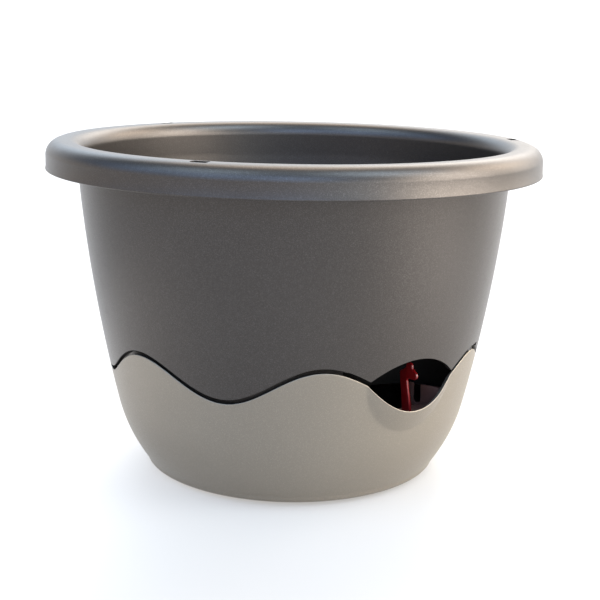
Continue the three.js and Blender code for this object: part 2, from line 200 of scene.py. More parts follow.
def turned(name, outline, x, y, segments):
    """A plain round solid on a vertical axis, from (radius, height) points that start and end on the axis."""
    azimuths = np.arange(segments) * 360.0 / segments
    points = np.array(outline)
    radii = np.repeat(points[None, :, 0], segments, axis=0)
    heights = np.repeat(points[None, :, 1], segments, axis=0)
    mesh = revolved(name, azimuths, radii, heights)
    mesh.transform(Matrix.Translation((x * MM, y * MM, 0)))
    return mesh


def extruded(name, outline, start, end, bevel=0.0, segments=3):
    """A closed prism with rounded edges, between two values of the third axis.

    The outline is counterclockwise, as (a, b) points.
    """
    shape = bmesh.new()
    bottom = [shape.verts.new((a * MM, b * MM, start * MM)) for a, b in outline]
    face = shape.faces.new(bottom)
    face.normal_flip()
    result = bmesh.ops.extrude_face_region(shape, geom=[face])
    moved = [v for v in result["geom"] if isinstance(v, bmesh.types.BMVert)]
    bmesh.ops.translate(shape, verts=moved, vec=(0, 0, (end - start) * MM))
    bmesh.ops.recalc_face_normals(shape, faces=shape.faces)
    if bevel:
        edges = [e for e in shape.edges if e.calc_face_angle(0) > math.radians(30)]
        bmesh.ops.bevel(
            shape, geom=edges, offset=bevel * MM, offset_type="OFFSET", segments=segments, profile=0.5, affect="EDGES"
        )
    mesh = bpy.data.meshes.new(name)
    shape.to_mesh(mesh)
    shape.free()
    return mesh


def box_at(name, azimuth, across, out, up, bevel=0.0):
    """A box in the frame of an azimuth: across (tangential), out (from the axis) and up, as (low, high)."""
    outline = [(across[0], -out[1]), (across[1], -out[1]), (across[1], -out[0]), (across[0], -out[0])]
    mesh = extruded(name, outline, up[0], up[1], bevel)
    mesh.transform(Matrix.Rotation(math.radians(azimuth), 4, "Z"))
    return mesh


def on_azimuth(azimuth, distance):
    turn = math.radians(azimuth)
    return distance * math.sin(turn), -distance * math.cos(turn)


def arc(centre_r, centre_z, radius_r, radius_z, start, end, steps):
    angles = np.radians(np.linspace(start, end, steps + 1))
    return [(centre_r + radius_r * math.cos(t), centre_z + radius_z * math.sin(t)) for t in angles]


def bezier(p0, p1, p2, p3, steps):
    t = np.linspace(0, 1, steps + 1)[:, None]
    p0, p1, p2, p3 = (np.array(p, dtype=float) for p in (p0, p1, p2, p3))
    return (1 - t) ** 3 * p0 + 3 * (1 - t) ** 2 * t * p1 + 3 * (1 - t) * t**2 * p2 + t**3 * p3


# ---- Outline of the body and the wave line ----

base_corner = bezier((76, 0), (80.5, 0), (91, 1.4), (91.5, 5), 14)
lower_wall = bezier((91.5, 5), (92, 8), (103, 19), (108.8, 42.5), 300)
upper_wall = bezier((108.8, 42.5), (119.4, 86.8), (128.2, 142.4), (131.2, RIM_EDGE), 500)
wall = np.concatenate([lower_wall, upper_wall[1:]])
wall_slope = np.gradient(wall[:, 0], wall[:, 1])


def body_radius(z):
    return np.interp(z, wall[:, 1], wall[:, 0])


def wall_inset(z, thickness):
    slope = np.interp(z, wall[:, 1], wall_slope)
    return thickness * np.hypot(1, slope)


def soft_max(a, b, width):
    return (a + b + np.sqrt((a - b) ** 2 + width**2)) / 2


def wave_height(azimuth):
    crests = CRESTS + [(CRESTS[0][0] + 360, *CRESTS[0][1:])]
    turn = (np.asarray(azimuth, dtype=float) - CRESTS[0][0]) % 360 + CRESTS[0][0]
    height = np.zeros_like(turn)
    for (left, left_top, _), (right, right_top, rise) in zip(crests[:-1], crests[1:]):
        here = (turn >= left) & (turn <= right)
        deep = left < DEEP_TROUGH["azimuth"] < right
        middle = DEEP_TROUGH["azimuth"] if deep else (left + right) / 2
        low = DEEP_TROUGH["height"] if deep else TROUGH
        top = np.where(turn < middle, left_top, right_top)
        share = np.where(turn < middle, (turn - left) / (middle - left), np.minimum((right - turn) / rise, 1))
        height = np.where(here, (top + low) / 2 + (top - low) / 2 * np.cos(np.pi * share), height)
    return height


def skirt_height(azimuth):
    across = (azimuth - ARCH["azimuth"]) / ARCH["half"]
    arch = ARCH["top"] - ARCH["drop"] * across**2
    wave = wave_height(azimuth)
    return np.where(np.abs(across) < 1.1, np.maximum(wave, arch), wave)


def lip_height(azimuth):
    away = azimuth - DIP["azimuth"]
    left = away < 0
    share = np.abs(away) / np.where(left, DIP["left"], DIP["right"])
    dip = DIP["bottom"] + DIP["depth"] * share ** np.where(left, DIP["left_power"], DIP["right_power"])
    lip = wave_height(azimuth) - WAVE_GAP
    return np.where(share < 1.2, np.minimum(lip, dip), lip)


def spout_bulge(azimuth, z):
    """How far the bowl bulges out around the dip, as a shallow dome with a soft crease round it."""
    crease = 0.35
    across = np.radians(azimuth - SPOUT["azimuth"]) * SPOUT["body"]
    share = np.hypot(across, z - SPOUT["height"]) / SPOUT["radius"]
    return np.clip(soft_max(SPOUT["bulge"] * (1 - share**2), 0, crease) - 0.02, 0, None)


AZIMUTHS = np.concatenate(
    [np.arange(FINE_FROM, FINE_TO, FINE_STEP), np.arange(FINE_TO, FINE_FROM + 360, COARSE_STEP)]
)


def stacked(parts):
    """Rows of an outline for every column.

    Each part is (radii, heights), as one number, a list or a (columns, rows) array.
    """
    count = len(AZIMUTHS)
    wide = []
    for r, z in parts:
        r, z = np.atleast_1d(np.asarray(r, float)), np.atleast_1d(np.asarray(z, float))
        rows = max(r.shape[-1], z.shape[-1])
        wide.append((np.broadcast_to(r, (count, rows)), np.broadcast_to(z, (count, rows))))
    return np.concatenate([r for r, _ in wide], axis=1), np.concatenate([z for _, z in wide], axis=1)


def ramp(low, high, rows, ends=(True, True)):
    """(columns, rows) heights from low to high, each a number or one per column."""
    share = np.linspace(0, 1, rows)
    share = share[0 if ends[0] else 1 : None if ends[1] else -1]
    low = np.broadcast_to(np.atleast_1d(low), (len(AZIMUTHS),))[:, None]
    high = np.broadcast_to(np.atleast_1d(high), (len(AZIMUTHS),))[:, None]
    return low + (high - low) * share


# ---- Water bowl ----


def bowl_mesh():
    az = AZIMUTHS[:, None]
    lip = lip_height(AZIMUTHS)[:, None]
    edge = 0.35

    def outer(z):
        return body_radius(z) + spout_bulge(az, z)

    def inner(z):
        return outer(z) - wall_inset(z, BOWL_WALL)

    lower = ramp(5, 38, 30, (False, True))
    upper = ramp(38, lip[:, 0] - edge, 64, (False, True))
    turns = np.radians([22, 45, 68, 90])
    out_z = lip - edge + edge * np.sin(turns)
    out_r = outer(lip - edge) - edge + edge * np.cos(turns)
    # The lip's top slopes down inwards.
    inside = ramp(lip[:, 0] - LIP_SLOPE, 14, 70)
    corner = np.array(bezier((89.6, 10.5), (87.5, 7.0), (84.5, BOWL_FLOOR), (79, BOWL_FLOOR), 8))
    ring_edge = BASE_RING_INNER - BOWL_UNDERSIDE
    parts = [
        (0, BOWL_UNDERSIDE),
        ([20, 40, 55], BOWL_UNDERSIDE),
        ([ring_edge - 0.4, ring_edge + 0.3], [BOWL_UNDERSIDE, BOWL_UNDERSIDE - 0.3]),
        ([BASE_RING_INNER - 0.3, BASE_RING_INNER + 0.5], [0.3, 0]),
        ([70], 0),
        (base_corner[:, 0], base_corner[:, 1]),
        (outer(lower), lower),
        (outer(upper), upper),
        (out_r, out_z),
        (inner(inside), inside),
        (corner[:, 0], corner[:, 1]),
        ([60, 40, 20], BOWL_FLOOR),
        (0, BOWL_FLOOR),
    ]
    return revolved("bowl", AZIMUTHS, *stacked(parts))


def leg_seat(azimuth):
    x, y = on_azimuth(azimuth, LEGS["distance"])
    top = BOWL_FLOOR + LEG_SEAT["height"]
    radius = LEG_SEAT["radius"]
    soft = 0.8
    rounded = arc(radius - soft, top - soft, soft, soft, 0, 90, 4)
    outline = [(0, BOWL_FLOOR - 1), (radius, BOWL_FLOOR - 1), *rounded, (0, top)]
    return turned("seat", outline, x, y, 48)


# ---- Pot ----


def rim_outline():
    roll_z = RIM_TOP - RIM_ROLL
    roll_r = RIM_RADIUS - RIM_ROLL
    under = RIM_ROLL - RIM_WALL
    throat = THROAT_ROLL_START - THROAT_RADIUS
    body_top = float(body_radius(RIM_EDGE))
    edge = RIM_RADIUS - RIM_WALL
    bead = 0.45
    return [
        *arc(THROAT_ROLL_START, roll_z, THROAT_ROLL_START - body_top - 0.3, under - 0.3, 180, 90, 8),
        *arc(roll_r, roll_z, under, under, 90, 0, 10),
        *arc(edge + 0.7, RIM_EDGE + 0.7, 0.7, 0.7, 180, 270, 4),
        *arc(RIM_RADIUS + RIM_BEAD - bead, RIM_EDGE + bead, bead, bead, 270, 360, 5),
        (RIM_RADIUS + RIM_BEAD - 0.02, RIM_EDGE + 0.8),
        (RIM_RADIUS, RIM_EDGE + 1.5),
        *arc(roll_r, roll_z, RIM_ROLL, RIM_ROLL, 6, 90, 20),
        *arc(THROAT_ROLL_START, roll_z, throat, RIM_ROLL - 0.1, 90, 180, 20),
    ]


def pot_mesh():
    skirt = skirt_height(AZIMUTHS)
    edge = 0.7
    flat_skirt = skirt[:, None]

    def vessel_outer(z):
        return body_radius(z) - VESSEL_INSET

    def vessel_inner(z):
        return vessel_outer(z) - VESSEL_WALL

    low_wall = ramp(FLOOR_BOTTOM + 4, skirt - 0.6, 14)
    turns = np.radians([270, 292, 315, 338, 360])
    ledge_z = flat_skirt + edge + edge * np.sin(turns)
    ledge_r = body_radius(flat_skirt + edge) - edge + edge * np.cos(turns)
    outside = ramp(skirt + edge, RIM_EDGE - 0.6, 64, (False, True))
    rim = np.array(rim_outline())
    inside_top = ramp(RIM_EDGE - 1, skirt + 8, 34, (False, True))
    inside_low = ramp(skirt - 1, FLOOR_TOP + 3.5, 14)
    foot_outer = arc(float(vessel_outer(FLOOR_BOTTOM)) - 3.2, FLOOR_BOTTOM + 3.6, 3.9, 3.6, 270, 345, 6)
    foot_inner = arc(float(vessel_inner(FLOOR_TOP)) - 3.0, FLOOR_TOP + 3.2, 3.2, 3.2, 345, 270, 6)
    foot_outer, foot_inner = np.array(foot_outer), np.array(foot_inner)
    parts = [
        (0, FLOOR_BOTTOM),
        ([25, 50, 75, 95], FLOOR_BOTTOM),
        (foot_outer[:, 0], foot_outer[:, 1]),
        (vessel_outer(low_wall), low_wall),
        (vessel_outer(flat_skirt) + 0.4, flat_skirt),
        (ledge_r, ledge_z),
        (body_radius(outside), outside),
        (rim[:, 0], rim[:, 1]),
        (body_radius(inside_top) - POT_WALL, inside_top),
        (vessel_inner(inside_low), inside_low),
        (foot_inner[:, 0], foot_inner[:, 1]),
        ([95, 75, 50, 25], FLOOR_TOP),
        (0, FLOOR_TOP),
    ]
    return revolved("pot", AZIMUTHS, *stacked(parts))


def body_core(lower_inset, upper_inset, low, high):
    """The body's inside, which trims the well: one inset from the outer face below the skirt's edge, one above."""
    edge = skirt_height(AZIMUTHS) + 0.5
    upper = ramp(edge, high, 30)
    flat_edge = edge[:, None]
    parts = [
        (0, low),
        (body_radius(low) - lower_inset, low),
        (body_radius(flat_edge) - lower_inset, flat_edge),
        (body_radius(upper) - upper_inset, upper),
        (0, high),
    ]
    return revolved("core", AZIMUTHS, *stacked(parts))


def well_tower(grow, low):
    x, y = on_azimuth(WELL["azimuth"], WELL["distance"])
    radius = WELL["radius"] + grow
    shoulder = WELL["shoulder"] + grow / 2
    slope = math.atan2(WELL["apex"] + grow - shoulder - WELL["set_in"], radius - WELL["set_in"])
    turn = math.degrees(slope)
    corner = 9.0
    outline = [
        (0, low),
        (radius, low),
        *arc(radius - corner, shoulder, corner, corner, 0, 90 - turn, 10),
        (0, WELL["apex"] + grow),
    ]
    return turned("tower", outline, x, y, 128)


def leg(azimuth, grow, low, high):
    x, y = on_azimuth(azimuth, LEGS["distance"])
    bottom, top = LEGS["bottom"] + grow, LEGS["top"] + grow
    soft = 0.8
    outline = [(0, low), *arc(bottom - soft, low + soft, soft, soft, 270, 360, 4), (top, high), (0, high)]
    return turned("leg", outline, x, y, 56)


def hook_slot(azimuth):
    distance, half_length, half_width = HOOK_SLOTS["distance"], HOOK_SLOTS["length"] / 2, HOOK_SLOTS["width"] / 2
    corner = 1.4
    outline = []
    for sx, sy, start in ((1, -1, 270), (1, 1, 0), (-1, 1, 90), (-1, -1, 180)):
        centre = (sx * (half_length - corner), -distance + sy * (half_width - corner))
        outline += arc(centre[0], centre[1], corner, corner, start, start + 90, 5)
    mesh = extruded("hook_slot", outline, RIM_TOP - RIM_ROLL + 1, RIM_TOP + 2)
    mesh.transform(Matrix.Rotation(math.radians(azimuth), 4, "Z"))
    return mesh


def pry_notch():
    edge = float(wave_height(PRY_NOTCH["azimuth"]))
    half = PRY_NOTCH["width"] / 2
    wall_out = float(body_radius(edge))
    out = (wall_out - VESSEL_INSET + 0.6, wall_out + 5)
    return box_at("notch", PRY_NOTCH["azimuth"], (-half, half), out, (edge - 5, edge + PRY_NOTCH["height"]), 0.6)


def wick_slot(azimuth):
    half = WICK_SLOT["length"] / 2
    out = (WICKS["distance"] - WICK_SLOT["width"] / 2, WICKS["distance"] + WICK_SLOT["width"] / 2)
    return box_at("wick_slot", azimuth, (-half, half), out, (FLOOR_BOTTOM - 2, FLOOR_TOP + 2))


# ---- Indicator guide ----


def plate_box(side, start, end, out, up, bevel=0.0):
    low, high = -GUIDE["lean"] + start, -GUIDE["lean"] + end
    across = (low, high) if side > 0 else (-high, -low)
    return box_at("plate", WELL["azimuth"] + side * GUIDE["spread"], across, out, up, bevel)


def side_plate(side):
    """A plate with a round-bottomed notch in its top edge."""
    half = GUIDE["plate"] / 2
    inner, outer, low, high = GUIDE["inner"], GUIDE["outer"], GUIDE["low"], GUIDE["high"]
    distance, radius = GUIDE_NOTCH["distance"], GUIDE_NOTCH["width"] / 2
    floor = GUIDE_NOTCH["bottom"] + radius
    outline = [(inner, low), (outer, low), (outer, high), (distance + radius, high)]
    outline += arc(distance, floor, radius, radius, 0, -180, 12)
    outline += [(distance - radius, high), (inner, high)]
    middle = -GUIDE["lean"] * side
    mesh = extruded("plate", outline, -half, half, 0.25, 2)
    # Stand the plate up: (out, height, thickness) to (thickness, -out, height).
    turn = Matrix(((0, 0, 1, middle * MM), (-1, 0, 0, 0), (0, 1, 0, 0), (0, 0, 0, 1)))
    mesh.transform(Matrix.Rotation(math.radians(WELL["azimuth"] + side * GUIDE["spread"]), 4, "Z") @ turn)
    mesh.flip_normals()
    return mesh


def snap_hook(side):
    """A tab whose tongue goes up through the pot's floor, with a barb on it."""
    low, high, reach = TAB["low"], TAB["high"], TAB["reach"]
    width = (TAB["start"], TAB["end"])
    return [
        plate_box(side, 0, reach, width, (low, high), 0.25),
        plate_box(side, reach - HOOK["thick"], reach, width, (low, HOOK["top"]), 0.25),
        plate_box(side, reach - HOOK["thick"], reach + HOOK["barb"], width, (HOOK["catch"], HOOK["top"]), 0.3),
    ]


def hook_hole(side):
    start, end = TAB["reach"] - HOOK["thick"] - 0.5, TAB["reach"] + 0.5
    out = (TAB["start"] - 0.5, TAB["end"] + 0.5)
    return plate_box(side, start, end, out, (FLOOR_BOTTOM - 2, FLOOR_TOP + 2))


def guide_shelf():
    outline = [(-34, -100), (-14, -106.5), (14, -106.5), (34, -100), (34, -91), (20, -93.5), (-20, -93.5), (-34, -91)]
    mesh = extruded("shelf", outline, SHELF["low"], SHELF["high"], 0.25, 2)
    mesh.transform(Matrix.Rotation(math.radians(WELL["azimuth"]), 4, "Z"))
    return mesh


def shelf_slot():
    play = 0.45
    half = STEM["thick"] / 2 + play
    out = (STEM["inner"] - play, STEM["outer"] + play)
    return box_at("slot", STEM["azimuth"], (-half, half), out, (SHELF["low"] - 1, SHELF["high"] + 1))


# ---- Indicator ----


def lever():
    """A flat lever in the radial plane: an arm, a stem, a rounded head and a nose that points out of the opening."""
    arm_end = PIN["distance"] - 3
    root = NOSE["height"] - NOSE["radius"]
    outline = [(arm_end, ARM["low"]), (HEEL["distance"], ARM["low"]), (STEM["outer"], HEEL["top"])]
    outline += [(STEM["outer"], STEM["straight_top"]), (STEM_TOP["outer"], root - 1.2)]
    outline += arc(STEM_TOP["outer"] + 1.3, root - 1.2, 1.1, 1.2, 170, 90, 5)
    outline += arc(NOSE["distance"], NOSE["height"], NOSE["radius"], NOSE["radius"], -90, 75, 16)
    outline += arc(HEAD["distance"], HEAD["height"], HEAD["radius"], HEAD["radius"], -20, 200, 20)
    shoulder = (STEM_TOP["inner"] + 2.6, STEM_TOP["shoulder"])
    outline += arc(*shoulder, 2.6, 2.6, 100, 180, 8)
    outline += [(STEM["inner"], STEM["straight_top"]), (STEM["inner"], ARM["high"] + 3)]
    outline += arc(STEM["inner"] - 3, ARM["high"] + 3, 3, 3, -10, -80, 6)
    outline += [(STEM["inner"] - 3, ARM["high"]), (arm_end, ARM["high"])]
    mesh = extruded("lever", outline, -STEM["thick"] / 2, STEM["thick"] / 2, 0.5, 4)
    stand = Matrix(((0, 0, 1, 0), (-1, 0, 0, 0), (0, 1, 0, 0), (0, 0, 0, 1)))
    mesh.transform(Matrix.Rotation(math.radians(STEM["azimuth"]), 4, "Z") @ stand)
    mesh.flip_normals()
    return mesh


def spindle(name, outline, segments):
    x, y = on_azimuth(STEM["azimuth"], PIN["distance"])
    return turned(name, outline, x, y, segments)


def ring(name, radius, bore, low, high, soft, segments):
    """A round body with a bore and soft edges, on the pin's axis."""
    outline = [
        (0, low),
        *arc(radius - soft, low + soft, soft, soft, 270, 360, 6),
        *arc(radius - soft, high - soft, soft, soft, 0, 90, 6),
        (0, high),
    ]
    hole = [(0, low - 1), (bore, low - 1), (bore, high + 1), (0, high + 1)]
    return combined(name, spindle(name, outline, segments), [("DIFFERENCE", spindle("bore", hole, 40))])


# ---- Wicks ----


def wick_mesh(azimuth, index):
    """A felt strip that lies on the floor and hangs down through its slot, with a soft, slightly uneven body."""
    noise = np.random.default_rng(70 + index)
    low = FLOOR_TOP + WICK_GAP
    thick, width, distance = WICKS["thick"], WICKS["width"], WICKS["distance"]
    middle = low + thick / 2
    bend = 1.6
    steps_in = np.linspace(distance - WICKS["reach"], distance - bend, 26)
    path = [(d, middle) for d in steps_in]
    path += arc(distance - bend, middle - bend, bend, bend, 80, 0, 8)
    path += [(distance, z) for z in np.linspace(middle - bend - 1, WICKS["foot"], 52)]
    path = np.array(path)
    tangent = np.gradient(path, axis=0)
    tangent /= np.linalg.norm(tangent, axis=1)[:, None]
    normal = np.stack([-tangent[:, 1], tangent[:, 0]], axis=1)
    length = np.concatenate([[0], np.cumsum(np.linalg.norm(np.diff(path, axis=0), axis=1))])
    profile = []
    side_steps = np.linspace(-1, 1, 19)
    half = width / 2
    soft = 0.9
    for s in side_steps:
        profile.append((s * (half - soft), -1.0))
    profile += [(half - soft * (1 - math.sin(t)), -math.cos(t)) for t in np.radians([30, 60, 90, 120, 150])]
    for s in side_steps[::-1]:
        profile.append((s * (half - soft), 1.0))
    profile += [(-half + soft * (1 - math.sin(t)), math.cos(t)) for t in np.radians([30, 60, 90, 120, 150])]
    profile = np.array(profile)
    phase = noise.uniform(0, 2 * np.pi, 4)
    ripple = 0.10 * np.sin(length / 5.2 + phase[0]) + 0.06 * np.sin(length / 2.3 + phase[1])
    fray = 0.25 * np.sin(length / 3.1 + phase[2]) + 0.15 * np.sin(length / 1.2 + phase[3])
    vertices = []
    for k, (d, z) in enumerate(path):
        across = profile[:, 0] * (1 - 0.02 + 0.01 * fray[k])
        lift = profile[:, 1] * (thick / 2 - 0.12) + 0.4 * ripple[k] * np.cos(profile[:, 0] / 5 + k * 0.05)
        dd = d + normal[k, 0] * lift
        zz = z + normal[k, 1] * lift
        vertices.append(np.stack([across, -dd, zz], axis=1))
    count = len(profile)
    rows = len(path)
    vertices = np.concatenate(vertices)
    faces = []
    for k in range(rows - 1):
        for i in range(count):
            j = (i + 1) % count
            faces.append((k * count + i, k * count + j, (k + 1) * count + j, (k + 1) * count + i))
    faces.append(tuple(range(count))[::-1])
    faces.append(tuple((rows - 1) * count + i for i in range(count)))
    mesh = mesh_of(f"wick_{index}", vertices, faces)
    mesh.transform(Matrix.Rotation(math.radians(azimuth), 4, "Z"))
    shape = bmesh.new()
    shape.from_mesh(mesh)
    bmesh.ops.recalc_face_normals(shape, faces=shape.faces)
    shape.to_mesh(mesh)
    shape.free()
    return mesh


# ---- Materials ----


class Nodes:
    """Short way to build a material's node tree."""

    def __init__(self, name):
        self.material = bpy.data.materials.new(name)
        self.material.use_nodes = True
        self.tree = self.material.node_tree
        self.shader = self.tree.nodes["Principled BSDF"]
        self.coordinates = self.tree.nodes.new("ShaderNodeTexCoord").outputs["Object"]

    def add(self, kind, inputs=None, **settings):
        node = self.tree.nodes.new("ShaderNode" + kind)
        for key, value in settings.items():
            setattr(node, key, value)
        for key, value in (inputs or {}).items():
            self.put(node.inputs[key], value)
        return node

    def put(self, socket, value):
        if isinstance(value, bpy.types.NodeSocket):
            self.tree.links.new(value, socket)
        else:
            socket.default_value = value

    def shade(self, **inputs):
        for key, value in inputs.items():
            self.put(self.shader.inputs[key.replace("_", " ")], value)

    def math(self, operation, a, b=0.0, clamp=False):
        node = self.add("Math", {0: a, 1: b}, operation=operation)
        node.use_clamp = clamp
        return node.outputs[0]

    def noise(self, scale, detail=3.0, roughness=0.5, stretch=None):
        vector = self.coordinates
        if stretch:
            vector = self.add("Mapping", {"Vector": vector, "Scale": stretch}).outputs[0]
        inputs = {"Vector": vector, "Scale": scale, "Detail": detail, "Roughness": roughness}
        return self.add("TexNoise", inputs).outputs[0]

    def cells(self, scale, output="Color"):
        return self.add("TexVoronoi", {"Vector": self.coordinates, "Scale": scale}).outputs[output]

    def ramp(self, value, low, high, out_low=0.0, out_high=1.0):
        inputs = {"Value": value, "From Min": low, "From Max": high, "To Min": out_low, "To Max": out_high}
        return self.add("MapRange", inputs).outputs[0]

    def blend(self, factor, a, b):
        node = self.add("Mix", data_type="RGBA")
        self.put(node.inputs[0], factor)
        self.put(node.inputs[6], a)
        self.put(node.inputs[7], b)
        return node.outputs[2]

    def bump(self, height, strength, distance, normal=None):
        inputs = {"Height": height, "Strength": strength, "Distance": distance}
        if normal is not None:
            inputs["Normal"] = normal
        return self.add("Bump", inputs).outputs[0]

    def distance(self, a, b):
        return self.add("VectorMath", {0: a, 1: b}, operation="DISTANCE").outputs["Value"]


def well_shade_mask(net):
    """1 on the pot's faces inside the filler well: the mask for painted shade there, which darkens the colour to near
    black, and for a rougher surface.
    """
    apart = net.add("SeparateXYZ", {"Vector": net.coordinates}).outputs
    flat = net.add("CombineXYZ", {"X": apart["X"], "Y": apart["Y"]}).outputs[0]
    out = net.add("VectorMath", {0: flat}, operation="LENGTH").outputs["Value"]
    heights = (60.0, 120.0)
    radii = [float(body_radius(z)) * MM for z in heights]
    wall_out = net.ramp(apart["Z"], heights[0] * MM, heights[1] * MM, *radii)
    depth = net.math("SUBTRACT", wall_out, out)
    behind = net.ramp(depth, 1.2 * MM, 2.2 * MM)
    axis_x, axis_y = on_azimuth(WELL["azimuth"], WELL["distance"])
    away = net.distance(flat, (axis_x * MM, axis_y * MM, 0))
    side = WELL["radius"] + WELL["wall"] / 2
    top = WELL["apex"] + WELL["wall"] / 2
    fade = 0.5
    within = net.ramp(away, side * MM, (side - fade) * MM)
    roof_slope = (WELL["apex"] - WELL["shoulder"] - WELL["set_in"]) / (WELL["radius"] - WELL["set_in"])
    roof = net.math("ADD", apart["Z"], net.math("MULTIPLY", away, roof_slope))
    under = net.ramp(roof, top * MM, (top - fade) * MM)
    return net.math("MULTIPLY", behind, net.math("MULTIPLY", within, under))


def srgb(red, green, blue, alpha=1.0):
    def linear(c):
        c /= 255
        return c / 12.92 if c <= 0.04045 else ((c + 0.055) / 1.055) ** 2.4

    return (linear(red), linear(green), linear(blue), alpha)


def pearl_plastic(name, dark, light, flake_colour, flake_share, roughness, metallic, painted_shade_rough_well=False):
    """Moulded plastic with a fine metallic flake under a satin skin. The well flag paints shade inside the filler
    well, darkening it to near black, and makes it rougher.
    """
    net = Nodes(name)
    cloud = net.noise(14.0, 4.0)
    fine = net.noise(2600.0, 2.0)
    colour = net.blend(net.ramp(cloud, 0.3, 0.7), dark, light)
    picked = net.add("SeparateColor", {"Color": net.cells(4200.0)})
    flake = net.ramp(picked.outputs[0], 1.0 - flake_share, 1.0)
    flake = net.math("MULTIPLY", flake, 0.85, clamp=True)
    colour = net.blend(flake, colour, flake_colour)
    grain = net.ramp(fine, 0.3, 0.7, roughness - 0.03, roughness + 0.03)
    scuff = net.ramp(net.noise(60.0, 6.0, 0.62, (1, 1, 3)), 0.55, 0.8, 0.0, 0.04)
    rough = net.math("ADD", grain, scuff)
    rough = net.math("SUBTRACT", rough, net.math("MULTIPLY", flake, 0.06))
    if painted_shade_rough_well:
        # Painted shade: the filler well's inside is darkened nearly to black, and its roughness goes up too.
        inside = well_shade_mask(net)
        colour = net.blend(net.math("MULTIPLY", inside, 0.96), colour, (0.002, 0.002, 0.002, 1))
        rough = net.math("ADD", rough, net.math("MULTIPLY", inside, 0.2))
    skin = net.bump(fine, 0.03, 0.0001)
    net.shade(Base_Color=colour, Roughness=rough, Metallic=metallic, Normal=skin, IOR=1.49)
    return net.material


def plain_plastic(name, dark, light, roughness):
    """Plain moulded plastic with a fine spark-eroded texture."""
    net = Nodes(name)
    colour = net.blend(net.ramp(net.noise(40.0, 4.0), 0.3, 0.7), dark, light)
    fine = net.noise(1600.0, 2.0)
    rough = net.ramp(net.noise(120.0, 5.0), 0.3, 0.7, roughness - 0.06, roughness + 0.08)
    net.shade(Base_Color=colour, Roughness=rough, Normal=net.bump(fine, 0.18, 0.0001), IOR=1.49)
    return net.material


def red_plastic():
    net = Nodes("red_plastic")
    colour = net.blend(net.ramp(net.noise(70.0, 3.0), 0.3, 0.7), srgb(94, 2, 6), srgb(112, 4, 10))
    rough = net.ramp(net.noise(300.0, 4.0), 0.3, 0.7, 0.3, 0.42)
    net.shade(Base_Color=colour, Roughness=rough, Normal=net.bump(net.noise(500.0, 2.0), 0.05, 0.0001))
    net.shade(Coat_Weight=0.2, Coat_Roughness=0.2, IOR=1.5)
    return net.material


def float_foam():
    net = Nodes("float_foam")
    cell = net.cells(900.0, "Distance")
    colour = net.blend(net.ramp(cell, 0.1, 0.6), srgb(242, 240, 234), srgb(214, 211, 203))
    bubbles = net.bump(cell, 0.5, 0.0004)
    rough = net.ramp(net.noise(400.0, 3.0), 0.3, 0.7, 0.7, 0.92)
    net.shade(Base_Color=colour, Roughness=rough, Normal=bubbles)
    return net.material


def wick_textile():
    net = Nodes("wick_textile")
    fibre = net.noise(2200.0, 4.0, 0.6, (1, 1, 0.25))
    tangle = net.noise(900.0, 5.0, 0.7)
    cloud = net.noise(90.0, 4.0)
    pale = net.blend(net.ramp(cloud, 0.3, 0.7), srgb(206, 201, 188), srgb(186, 180, 166))
    colour = net.blend(net.ramp(fibre, 0.4, 0.75, 0.0, 0.6), pale, srgb(228, 224, 213))
    fuzz = net.bump(tangle, 0.7, 0.0005)
    fuzz = net.bump(fibre, 0.5, 0.0003, fuzz)
    net.shade(Base_Color=colour, Roughness=net.ramp(tangle, 0.2, 0.8, 0.85, 1.0), Normal=fuzz)
    net.shade(Sheen_Weight=0.4, Sheen_Roughness=0.5)
    return net.material


anthracite = (srgb(68, 64, 61), srgb(71, 67, 64), srgb(92, 88, 85))
beige = (srgb(127, 119, 107), srgb(131, 123, 111), srgb(149, 141, 129))
# The pot's filler well gets painted shade inside (a near-black colour) and a rougher surface.
pot_finish = pearl_plastic("pot_plastic", *anthracite, flake_share=0.3, roughness=0.34, metallic=0.8, painted_shade_rough_well=True)
bowl_finish = pearl_plastic("bowl_plastic", *beige, flake_share=0.2, roughness=0.4, metallic=0.6)
guide_finish = plain_plastic("guide_plastic", srgb(86, 58, 49), srgb(95, 65, 56), 0.55)
clip_finish = plain_plastic("clip_plastic", srgb(210, 207, 196), srgb(220, 217, 207), 0.35)
red_finish = red_plastic()
foam_finish = float_foam()
wick_finish = wick_textile()


# ---- Pieces ----


def piece(name, mesh, material, body, node, sharp=32.0):
    obj = finish_mesh(name, mesh, material, sharp)
    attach(obj, body)
    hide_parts(node)
    return obj


bowl = combined("bowl", bowl_mesh(), [("UNION", leg_seat(a)) for a in LEGS["azimuths"]])
piece("water_bowl", bowl, bowl_finish, "reservoir", "reservoir_bowl")

shell_core = body_core(VESSEL_INSET + 0.5, POT_WALL - 1, FLOOR_BOTTOM, WELL["trim_top"])
hollow_core = body_core(0, POT_WALL - 0.4, FLOOR_BOTTOM - 8, WELL["trim_top"])
well_shell = combined("well", well_tower(WELL["wall"], FLOOR_BOTTOM), [("INTERSECT", shell_core)])
well_inside = combined("hollow", well_tower(0, FLOOR_BOTTOM - 4), [("INTERSECT", hollow_core)])
steps = [("UNION", well_shell)]
steps += [("UNION", leg(a, 0, LEGS["foot"], FLOOR_BOTTOM + 1)) for a in LEGS["azimuths"]]
steps += [("DIFFERENCE", well_inside), ("DIFFERENCE", pry_notch())]
steps += [("DIFFERENCE", leg(a, -LEGS["wall"], LEGS["foot"] - 1, FLOOR_BOTTOM)) for a in LEGS["azimuths"]]
steps += [("DIFFERENCE", hook_slot(a)) for a in HOOK_SLOTS["azimuths"]]
steps += [("DIFFERENCE", wick_slot(a)) for a in WICKS["azimuths"]]
steps += [("DIFFERENCE", hook_hole(side)) for side in (-1, 1)]
pot = combined("pot", pot_mesh(), steps)
piece("plant_pot", pot, pot_finish, "pot", "pot")

